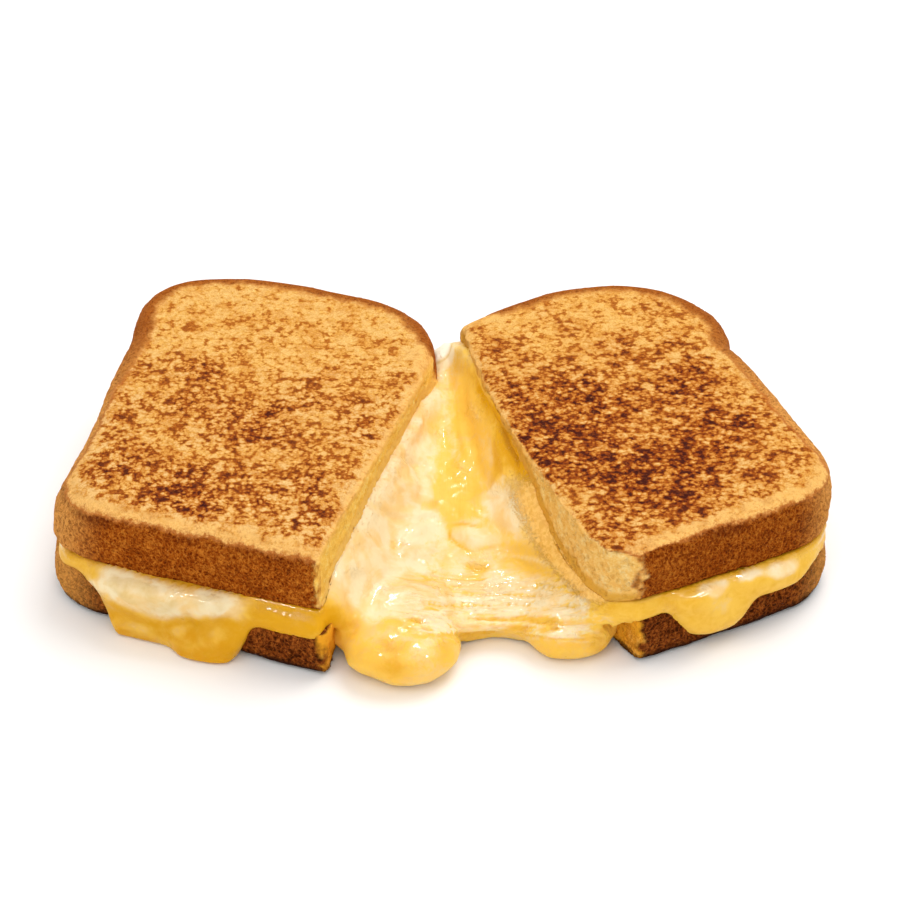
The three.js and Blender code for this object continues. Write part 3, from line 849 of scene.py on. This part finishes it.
# Folds and strands: a line where it shows, width, milk, amber, strength, height in mm (below 0
# a groove)
STROKES = [
    # the first two: the deep fold beside the right piece's cut, its groove painted dark amber as
    # shade
    ([(464, 366), (482, 398), (503, 432), (520, 466), (534, 494)], 8, 0.0, 1.1, 1.0, -0.8),
    ([(474, 384), (488, 406), (503, 434), (512, 456), (518, 474)], 5, 0.0, 1.5, 1.0, -0.3),
    ([(474, 374), (490, 412), (500, 452), (512, 486)], 4, 0.1, 0.35, 0.5, 0.5),
    ([(445, 366), (446, 410), (455, 452), (466, 474)], 4, 0.7, 0.05, 0.6, 0.5),
    ([(459, 364), (464, 410), (474, 450), (484, 484)], 4, 0.0, 0.6, 0.5, -0.5),
    ([(430, 384), (424, 424), (416, 470), (430, 500)], 4, 0.65, 0.15, 0.5, -0.4),
    ([(447, 524), (449, 534), (457, 545), (470, 553)], 2.4, 0.0, 0.9, 0.8, -0.2),
    ([(448, 525), (462, 524), (482, 530)], 1.8, 0.1, 0.7, 0.7, -0.15),
    ([(466, 552), (486, 549), (506, 543)], 2.2, 0.2, 0.6, 0.5, -0.15),
    ([(458, 532), (470, 540), (488, 539)], 4, 1.0, 0.0, 0.6, 0.25),
    ([(436, 494), (434, 505), (438, 514)], 4, 0.1, 0.7, 0.5, -0.15),
    ([(387, 500), (400, 508), (412, 504)], 4, 0.8, 0.2, 0.4, -0.4),
    ([(462, 564), (476, 569), (492, 566)], 4, 0.05, 0.7, 0.7, -0.5),
    ([(500, 552), (540, 548), (574, 560)], 3, 0.5, 0.5, 0.5, -0.3),
    ([(405, 600), (470, 606), (540, 603), (606, 612)], 2.2, 0.1, 0.6, 0.7, -0.35),
    ([(395, 590), (450, 586), (520, 584), (580, 590)], 2.5, 1.0, 0.0, 0.7, 0.35),
    ([(430, 596), (500, 593), (570, 598)], 2.2, 0.3, 0.6, 0.6, -0.3),
    ([(440, 612), (500, 611), (560, 616), (606, 620)], 2.4, 1.0, 0.0, 0.7, 0.35),
    ([(450, 619), (500, 618), (550, 622)], 2.2, 0.1, 0.7, 0.7, -0.35),
    ([(430, 626), (480, 624), (530, 625)], 2.4, 0.9, 0.0, 0.6, 0.3),
    ([(455, 640), (490, 634), (526, 632)], 3, 0.2, 0.7, 0.5, -0.3),
    ([(476, 556), (520, 556), (560, 568), (590, 584)], 3, 0.75, 0.1, 0.5, 0.3),
    ([(345, 590), (354, 612), (352, 636)], 4, 0.3, 0.6, 0.7, -0.5),
    ([(412, 402), (414, 424), (420, 442)], 15, 1.0, 0.0, 0.2, 1.1),
    ([(396, 480), (408, 486), (420, 484)], 14, 1.0, 0.0, 0.2, 1.1),
    ([(398, 540), (420, 544), (436, 552)], 16, 1.0, 0.0, 0.2, 1.0),
    ([(368, 548), (372, 566), (384, 580)], 15, 1.0, 0.0, 0.2, 0.9),
    ([(492, 520), (508, 516), (520, 522)], 13, 1.0, 0.0, 0.2, 0.9),
    ([(462, 424), (466, 448), (474, 466)], 12, 0.2, 0.1, 0.2, 0.9),
    ([(396, 450), (410, 462), (428, 468), (438, 486)], 4, 0.4, 0.4, 0.5, -0.7),
    ([(372, 502), (392, 518), (416, 522), (438, 516)], 4, 0.5, 0.3, 0.5, -0.7),
    ([(384, 592), (404, 578), (440, 580)], 4, 0.5, 0.3, 0.5, -0.5),
    ([(376, 600), (392, 616), (416, 626), (430, 640)], 3, 0.75, 0.15, 0.6, 0.4),
    ([(440, 634), (448, 650), (442, 668)], 4, 0.3, 0.5, 0.5, -0.3),
    ([(380, 640), (396, 652), (398, 672)], 3, 0.1, 0.8, 0.5, -0.3),
    ([(96, 580), (130, 606), (160, 624)], 3.5, 0.7, 0.1, 0.5, -0.3),
    ([(112, 576), (126, 592), (140, 612)], 5, 1.1, 0.0, 0.3, 0.5),
    ([(150, 584), (160, 604), (170, 628)], 6, 0.9, 0.1, 0.3, 0.5),
    ([(132, 580), (144, 600), (156, 622)], 4, 0.8, 0.2, 0.3, -0.4),
    ([(178, 592), (188, 616), (200, 640)], 5, 0.6, 0.3, 0.3, -0.5),
    ([(208, 600), (214, 622), (216, 646)], 6, 0.5, 0.3, 0.3, 0.5),
    ([(236, 606), (244, 622), (238, 640)], 5, 0.3, 0.6, 0.3, -0.4),
    ([(262, 608), (284, 620), (312, 622)], 4, 0.1, 0.5, 0.4, 0.5),
    ([(150, 628), (172, 638), (190, 646)], 3, 0.0, 1.0, 0.6, -0.2),
    ([(200, 634), (212, 644), (226, 646)], 4, 0.0, 0.95, 0.5, 0.3),
    ([(222, 612), (250, 616), (276, 624)], 3, 0.4, 0.3, 0.4, 0.3),
]
# Places where the surface is wet and puckered: where they show, reach
WET = [
    (474, 412, 12), (500, 488, 13), (518, 500, 11), (404, 460, 12), (392, 474, 9), (400, 545, 12),
    (480, 560, 16), (452, 584, 14), (495, 590, 18), (548, 590, 16), (418, 620, 12), (396, 642, 11),
    (420, 656, 16), (556, 626, 13), (574, 636, 14), (598, 640, 12), (470, 606, 18), (372, 588, 14),
    (560, 556, 14), (240, 596, 12), (262, 606, 12), (300, 616, 12), (180, 588, 12), (150, 580, 8),
    (212, 598, 10), (384, 590, 12), (412, 600, 14), (436, 574, 12), (526, 600, 16), (580, 604, 12),
    (440, 646, 10), (386, 650, 12), (412, 668, 8), (668, 608, 10), (700, 588, 14), (735, 572, 16),
    (772, 560, 16), (800, 552, 12), (440, 432, 10), (462, 470, 10), (350, 570, 10),
]


# Where the cheese has slumped a little otherwise than the solid: where it shows, reach, by how
# much (mm)
SLUMP = [
    ((498, 652), (40, 16), (0, 4.0, 0)),
    ((405, 692), (52, 24), (0, 1.8, 0)),
    ((362, 690), (22, 16), (0.9, 1.6, 0)),
    ((452, 686), (14, 16), (-0.9, 0.5, 0)),
    ((110, 628), (12, 12), (-0.6, -1.2, 0)),
    ((575, 668), (38, 15), (0, 1.6, 0)),
    ((226, 664), (36, 12), (0, 0.9, 0)),
    ((448, 356), (16, 9), (0, 1.2, 2.2)),
    ((70, 552), (16, 14), (-1.6, -0.2, -1.7)),
    ((92, 572), (14, 12), (-0.6, -0.4, -1.2)),
    ((150, 590), (56, 14), (-0.2, -1.7, 0)),
]


def along_line(x, y, line_points, width):
    """1 on the line, 0 away from it, soft ended."""
    pts = np.array(line_points, float)
    # rounder than straight pieces
    t = np.linspace(0, len(pts) - 1, 8 * len(pts))
    ends = np.arange(len(pts))
    pts = np.stack([np.interp(t, ends, pts[:, 0]), np.interp(t, ends, pts[:, 1])], -1)
    kernel = np.ones(7) / 7
    pad = np.pad(pts, ((3, 3), (0, 0)), mode="edge")
    pts = np.stack([np.convolve(pad[:, i], kernel, "valid") for i in (0, 1)], -1)
    lo, hi = pts.min(0) - 3 * width, pts.max(0) + 3 * width
    near = np.flatnonzero((x > lo[0]) & (x < hi[0]) & (y > lo[1]) & (y < hi[1]))
    out = np.zeros(len(x))
    if len(near):
        here = np.stack([x[near], y[near]], -1)
        d = np.linalg.norm(here[:, None] - pts[None], axis=2)
        k = d.argmin(1)
        taper = np.sin(np.pi * np.clip((k + 0.5) / len(pts), 0, 1)) ** 0.5
        at = np.stack([k / 7.0, k * 0 + width, k * 0], -1)
        swell = 1 + 0.45 * noise(at, 1.0, len(line_points))
        reach = width * swell * (0.4 + 0.6 * taper)
        out[near] = taper * np.exp(-((d.min(1) / reach) ** 2))
    return out


def cheese_material():
    g = Graph("melted_cheese")
    milky, ambery, wet = g.attr("milk"), g.attr("amber"), g.attr("wet")
    fine = g.noise(1.1, 3, 0.6, 0.5)
    swirl = g.noise(3.6, 3, 0.6, 1.2)
    # fine strands, across the front of the pull and along it further back
    across = g.noise(0.85, 2, 0.5, 0.4, g.where((15, 1, 2), turn=0.05))
    back = g.noise(1.2, 2, 0.5, 0.4, g.where((1, 14, 4), turn=0.12))
    lines = g.swing(across, g.attr("strands"))
    lines = g.add(lines, g.mul(g.swing(back, g.attr("drawn")), 0.25))
    shift = g.add(g.swing(fine, 0.3), g.swing(swirl, 0.8))
    shift = g.add(shift, g.mul(lines, 1.3))

    # yellow, cream where it is milky and whiter still in the white cheese, amber in the thin, and
    # the darkest amber as painted shade in the deep fold beside the right piece's cut
    milk = g.smooth(g.add(milky, shift), 0.2, 0.8)
    amber = g.smooth(g.add(ambery, g.mul(shift, 0.8)), 0.1, 0.95)
    # where amber passes 1: painted shade in the deep fold
    darkest_fold_shade = g.smooth(g.add(ambery, g.mul(shift, 0.2)), 1.0, 1.35)
    drift = g.add(g.mul(g.noise(8, 2, 0.5, 0.8), 0.75), g.mul(swirl, 0.25))
    drift = g.smooth(drift, 0.4, 0.64)
    cream = g.mix(drift, seen(255, 234, 188, 1.12), seen(255, 214, 142, 1.12))
    curd = g.smooth(swirl, 0.34, 0.72)
    curd = g.mix(curd, seen(236, 205, 144, 1.06), seen(224, 190, 120, 1.06))
    white = g.mix(g.smooth(milky, 0.95, 1.2), cream, curd)
    white = g.mix(g.smooth(milky, 1.15, 1.6), white, seen(255, 246, 222, 1.0))
    colour = g.mix(milk, seen(255, 205, 84, 1.12), white)
    colour = g.mix(g.mul(amber, 0.95), colour, seen(238, 170, 4, 1.2))
    colour = g.mix(darkest_fold_shade, colour, seen(202, 136, 2, 1.15))
    colour = g.mix(g.attr("shade"), colour, (0.0, 0.0, 0.0))
    # bread crumbs that stick in it
    crumbs = g.add(g.attr("crumby"), g.swing(g.noise(0.55, 3, 0.7), 1.6))
    crumbs = g.smooth(crumbs, 0.3, 0.8)
    crumb = g.smooth(fine, 0.4, 0.6)
    crumb = g.mix(crumb, seen(230, 174, 82, 0.96), seen(246, 196, 106, 0.98))
    colour = g.mix(g.mul(crumbs, 0.85), colour, crumb)

    lumps = g.noise(3.0, 1.5, 0.5, 0.4)
    pucker = g.noise(1.3, 2, 0.5, 0.6)
    height = g.add(g.mul(lumps, 0.3), g.mul(g.mul(pucker, wet), 1.15))
    height = g.add(height, g.add(g.mul(crumbs, 0.35), g.mul(lines, 0.9)))
    dry = g.smooth(g.noise(3.5, 3, 0.6), 0.4, 0.65, 0.45, 0.26)
    return g.surface(
        colour,
        g.blend(crumbs, g.blend(wet, dry, 0.2), 0.7),
        g.bump(height, mm=0.6),
        Specular_IOR_Level=0.08,
        Subsurface_Weight=g.mul(g.attr("deep"), 0.65),
        Subsurface_Radius=(1.0, 0.55, 0.16),
        Subsurface_Scale=2.4 * MM,
        Coat_Weight=g.mul(g.sub(1.0, crumbs), g.blend(wet, 0.1, 0.9)),
        Coat_Roughness=0.07,
        Coat_IOR=1.4,
    )


def cheese():
    meshes = []
    for name in CHEESE_NODES:
        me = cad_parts[name].data.copy()
        p, n = points(me), normals(me)
        set_points(me, p + SWELL * n)
        meshes.append(me)
    mesh = remeshed(joined(meshes), CHEESE_FACE)
    mesh = smoothed(mesh, times=10)
    p = points(mesh)
    # smoother still where it hangs free
    calm = points(smoothed(mesh.copy(), times=36))
    x, y = on_picture(p)
    free = step(0.8, 2.2, nearest(BREAD, p, most=3)[0]) * step(0.5, 2.5, p[:, 2])
    blobs = step(590, 606, y) * step(668, 640, y)
    hang = np.maximum(step(345, 325, x) + step(640, 665, x), blobs)
    p = p + (free * hang)[:, None] * (calm - p)
    # it creeps up the cuts of the upper slices
    for side, way in (("left", 1), ("right", -1)):
        q = local(side, p)
        cut = OUTLINES[side, True][0]
        cut = cut[np.argsort(cut[:, 1])]
        out = (q[:, 0] - np.interp(q[:, 1], cut[:, 1], cut[:, 0])) * way
        near = step(8.5, -0.5, out) ** 1.6 * step(-3.5, -0.6, out) * step(5, 11, p[:, 2])
        p[:, 2] += climb(side, q[:, 1]) * near * (1 + 0.12 * fbm(p, 5, 2, seed=71))
    p[:, 2] = np.maximum(p[:, 2], 0)
    set_points(mesh, p)
    n = normals(mesh)
    yellow, white = (nearest(trees, p, most=5)[0] for trees in (CHEESE[:1], CHEESE[1:]))
    bread_gap, towards = nearest(BREAD, p, most=8)
    x, y = on_picture(p)  # every range of x and y below is in pixels
    warp = np.stack([fbm(p, (7, 7, 5), 3, seed=111 + k) for k in range(3)], -1)
    wx, wy = x + 10 * warp[:, 0], y + 8 * warp[:, 1]

    # colour: the two layers at the sides, then the patches and strokes of the part that shows
    layered = step(-0.5, 0.5, yellow - white)
    milk = np.maximum(layered * 1.1, 0.25 + 0.35 * fbm(p, (8, 6, 4), 3, seed=81))
    amber = 0.25 + 0.5 * fbm(p, (10, 10, 5), 3, seed=83)
    facing = n @ np.array([0, math.cos(PITCH), -math.sin(PITCH)]) * -1
    front = step(-0.75, -0.2, facing)  # 0 on what turns its back to the camera
    lift = np.zeros(len(p))
    for (cx, cy), (rx, ry), turn, m, a, strength in PATCHES:
        c, s = math.cos(math.radians(turn)), math.sin(math.radians(turn))
        dx, dy = wx - cx, wy - cy
        r = np.hypot((c * dx - s * dy) / rx, (s * dx + c * dy) / ry)
        w = strength * step(1.3, 0.45, r) * front
        milk, amber = milk + (m - milk) * w, amber + (a - amber) * w
    for pts, width, m, a, strength, height in STROKES:
        w = along_line(x + 3 * warp[:, 0], y + 2 * warp[:, 1], pts, width) * front
        lift += height * w
        w = strength * w
        milk, amber = milk + (m - milk) * w, amber + (a - amber) * w
    at_sides = np.maximum(step(330, 318, x), step(655, 668, x))
    wetline = step(2.0, 0.3, bread_gap) * front * at_sides
    amber, milk = amber + (0.9 - amber) * 0.7 * wetline, milk * (1 - 0.6 * wetline)

    # strands drawn out across the front of the pull, soft folds along it further back
    slant = x + 0.6 * (640 - y)
    strands = step(552, 592, y) * step(652, 634, y)
    strands = strands * step(388, 440, slant) * step(624, 604, x) * front
    band = step(560, 588, y) * step(650, 632, y) * step(395, 450, slant) * step(622, 596, x) * front
    across = np.stack([x / 34 + warp[:, 0], y / 3.4 + 0.5 * warp[:, 1], x * 0], -1)
    lines = fbm(across, 1.0, 3, 0.6, seed=121)
    milk += band * 0.6 * np.clip(lines, -0.5, 0.5)
    amber += band * 0.4 * np.clip(-lines, -0.3, 0.5)
    along = np.stack([x / 16 + warp[:, 0], y / 34 + warp[:, 1], x * 0], -1)
    fold = fbm(along, 1.0, 3, 0.5, seed=131)
    back = step(565, 520, y) * step(350, 380, x) * step(600, 560, x) * front
    lift += 0.3 * band * lines + 0.5 * back * fold + 0.3 * fbm(p, 6, 3, seed=141)
    lift += 0.5 * (np.clip(milk, 0, 1) - 0.5) * (band + back + 0.3)

    # it clings to the bread it touches, where crumbs stick in it
    touching, faces_up = step(1.4, 0.5, bread_gap), step(-0.3, 0.3, n[:, 2])
    cling = touching * step(0.0, 0.3, n[:, 2]) * step(0.6, 0.4, np.abs(towards[:, 2]))
    lift = lift * (1 - 0.8 * touching)
    crumby = step(6.0, 0.8, bread_gap) * front * faces_up
    crumby = crumby * step(616, 596, y) * step(345, 352, x) * step(625, 600, x)
    crumby = crumby * (0.25 + 0.75 * step(465, 500, y) * step(480, 510, x))
    p = p + n * (lift * step(0.3, 1.2, p[:, 2]))[:, None]
    p = p + towards * (cling * (bread_gap + 0.3))[:, None]
    for (cx, cy), (rx, ry), shift in SLUMP:
        p = p + np.exp(-(((x - cx) / rx) ** 2) - ((y - cy) / ry) ** 2)[:, None] * shift
    p = np.clip(p, np.array(CAD_BOX[0]) / MM, np.array(CAD_BOX[1]) / MM)
    set_points(mesh, p)

    wet = np.zeros(len(p))
    for cx, cy, r in WET:
        spot = np.exp(-(((x - cx) ** 2 + ((y - cy) * 1.4) ** 2) / r**2))
        wet = np.maximum(wet, spot * front)
    # a little shade beside the left piece's cut, and on its curtain
    shade = 0.1 * np.exp(-(((x - 415) / 55) ** 2) - ((y - 560) / 80) ** 2)
    shade += 0.1 * np.exp(-(((x - 180) / 100) ** 2) - ((y - 625) / 50) ** 2)
    attributes = dict(
        milk=milk,
        amber=np.clip(amber, 0, 1.6),
        wet=np.maximum(wet, 0.7 * wetline),
        deep=step(3, 7, bread_gap) * step(600, 632, y),
        crumby=crumby,
        shade=shade * front,
        strands=strands,
        drawn=back,
    )
    finished(mesh, cheese_material(), attributes)
    o = new_object("melted_cheese", mesh)
    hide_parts(*CHEESE_NODES)
    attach(o, "root")


cheese()

# -------------------------------- floor, light
FLOOR_REACH = 4.0  # metres each way
corners = [(i * FLOOR_REACH, j * FLOOR_REACH, 0) for i, j in ((-1, -1), (1, -1), (1, 1), (-1, 1))]
floor_mesh = bpy.data.meshes.new("floor")
floor_mesh.from_pydata(corners, [], [(0, 1, 2, 3)])
floor = new_object("floor", floor_mesh)
white = Graph("floor_white")
floor_mesh.materials.append(white.surface((0.93, 0.925, 0.915), 0.6, Specular_IOR_Level=0.2))

world = bpy.data.worlds.new("studio")
bpy.context.scene.world = world
world.use_nodes = True
sky = world.node_tree.nodes["Background"]
sky.inputs["Color"].default_value = (1.0, 0.995, 0.985, 1)
sky.inputs["Strength"].default_value = 0.79


def area(name, place, target, size, power):
    """A round lamp (metres, watts) that looks at its target."""
    data = bpy.data.lights.new(name, "AREA")
    data.shape, data.size, data.energy = "DISK", size, power
    o = new_object(name, data)
    o.location = place
    d = np.array(target) - np.array(place)
    tilt = math.atan2(math.hypot(d[0], d[1]), -d[2])
    o.rotation_euler = (tilt, 0, math.atan2(-d[0], d[1]))
    return o


area("key", (0.3, 0.3, 0.85), (0, 0, 0.01), 0.7, 4.2)
area("fill", (-0.14, -0.52, 0.78), (0, 0, 0.01), 0.8, 2.6)
# small lamps that show only as glints on the wet cheese
GLINTS = (
    (-0.16, 0.24, 0.86),
    (0.22, 0.02, 0.9),
    (0.02, 0.5, 0.72),
    (0.45, -0.28, 0.78),
    (-0.4, -0.25, 0.8),
)
for i, spot in enumerate(GLINTS):
    glint = area(f"glint_{i}", spot, (0, -0.02, 0.01), 0.12, 2.6)
    glint.visible_diffuse = False
bpy.context.scene.view_settings.view_transform = "Standard"
